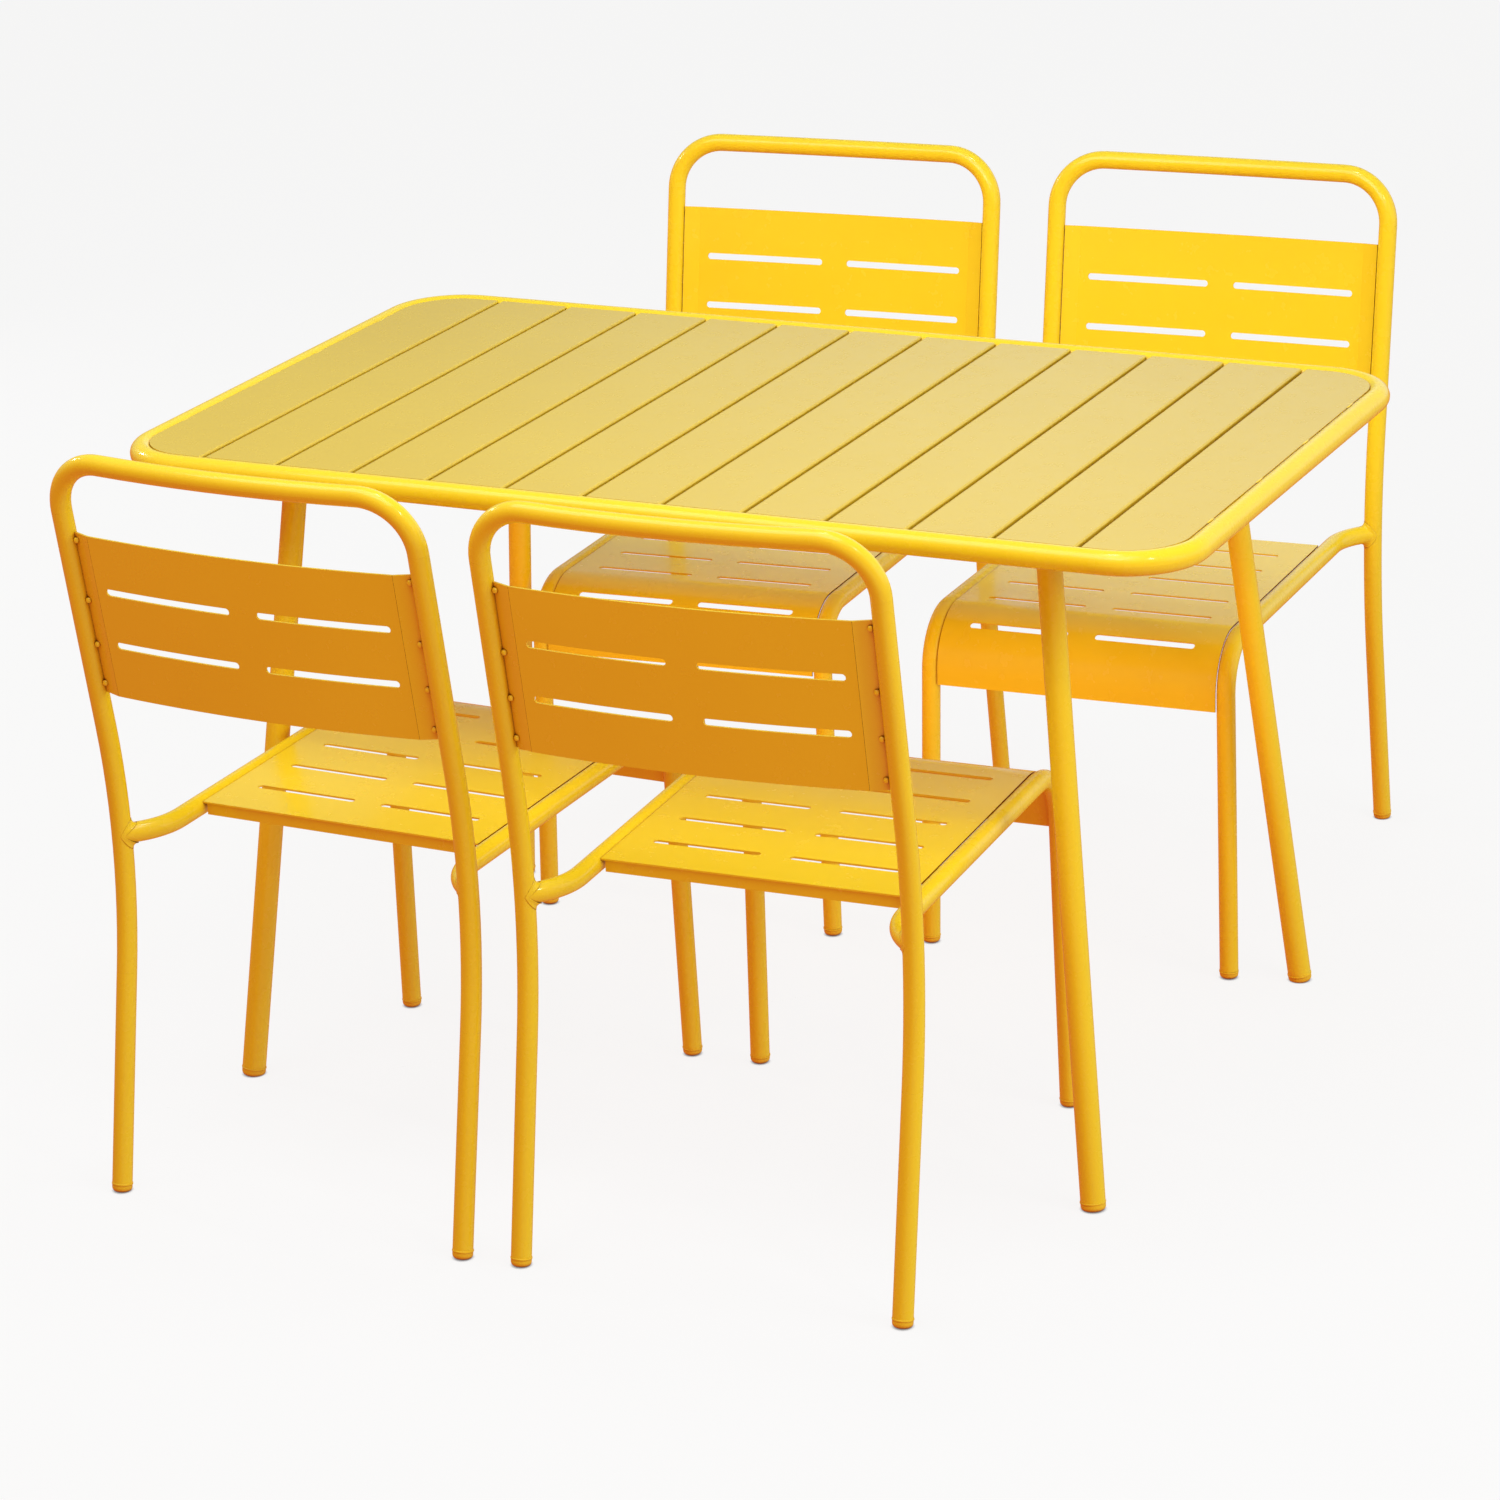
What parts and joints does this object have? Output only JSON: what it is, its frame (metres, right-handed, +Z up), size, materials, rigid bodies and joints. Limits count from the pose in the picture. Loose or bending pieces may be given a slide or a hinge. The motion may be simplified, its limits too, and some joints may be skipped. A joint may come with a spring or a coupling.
{
  "type": "patio dining set",
  "caption": "Slatted steel patio table with rounded corners and matching tube-framed chairs that have slotted seats and backs.",
  "frame": {"origin": "on the floor, under the middle of the whole set's bounding box", "axes": "+X along the table to the right as seen from its front side, +Y from the front chairs to the rear chairs, +Z up"},
  "size_m": [1.26, 1.617, 0.8411],
  "materials": {
    "tube_paint": "gloss powder coat",
    "sheet_paint": "gloss powder coat",
    "glide_plastic": "satin moulded plastic"
  },
  "bodies": {
    "table": {"rim": "tube_paint", "slat_01": "sheet_paint", "slat_02": "sheet_paint", "slat_03": "sheet_paint", "slat_04": "sheet_paint", "slat_05": "sheet_paint", "slat_06": "sheet_paint", "slat_07": "sheet_paint", "slat_08": "sheet_paint", "slat_09": "sheet_paint", "slat_10": "sheet_paint", "slat_11": "sheet_paint", "slat_12": "sheet_paint", "slat_13": "sheet_paint", "cross_rail_left": "tube_paint", "cross_rail_right": "tube_paint", "leg_front_left": "tube_paint", "leg_front_right": "tube_paint", "leg_rear_left": "tube_paint", "leg_rear_right": "tube_paint", "table_glides": "glide_plastic"},
    "chair_a": {"chair_a_hoop": "tube_paint", "chair_a_rail_left": "tube_paint", "chair_a_rail_right": "tube_paint", "chair_a_seat": "sheet_paint", "chair_a_back": "sheet_paint", "chair_a_tacks": "tube_paint", "chair_a_glides": "glide_plastic"},
    "chair_b": {"chair_b_hoop": "tube_paint", "chair_b_rail_left": "tube_paint", "chair_b_rail_right": "tube_paint", "chair_b_seat": "sheet_paint", "chair_b_back": "sheet_paint", "chair_b_tacks": "tube_paint", "chair_b_glides": "glide_plastic"},
    "chair_c": {"chair_c_hoop": "tube_paint", "chair_c_rail_left": "tube_paint", "chair_c_rail_right": "tube_paint", "chair_c_seat": "sheet_paint", "chair_c_back": "sheet_paint", "chair_c_tacks": "tube_paint", "chair_c_glides": "glide_plastic"},
    "chair_d": {"chair_d_hoop": "tube_paint", "chair_d_rail_left": "tube_paint", "chair_d_rail_right": "tube_paint", "chair_d_seat": "sheet_paint", "chair_d_back": "sheet_paint", "chair_d_tacks": "tube_paint", "chair_d_glides": "glide_plastic"}
  },
  "joints": [
    {"name": "chair_a_pull_out", "type": "slide", "parent": "table", "child": "chair_a", "axis": [-0.0384, -0.9993, 0], "range_m": [-0.08, 0.35]},
    {"name": "chair_b_pull_out", "type": "slide", "parent": "table", "child": "chair_b", "axis": [0.0262, -0.9997, 0], "range_m": [-0.08, 0.35]},
    {"name": "chair_c_pull_out", "type": "slide", "parent": "table", "child": "chair_c", "axis": [-0.0645, 0.9979, 0], "range_m": [-0.24, 0.2]},
    {"name": "chair_d_pull_out", "type": "slide", "parent": "table", "child": "chair_d", "axis": [-0.0401, 0.9992, 0], "range_m": [-0.28, 0.16]}
  ]
}
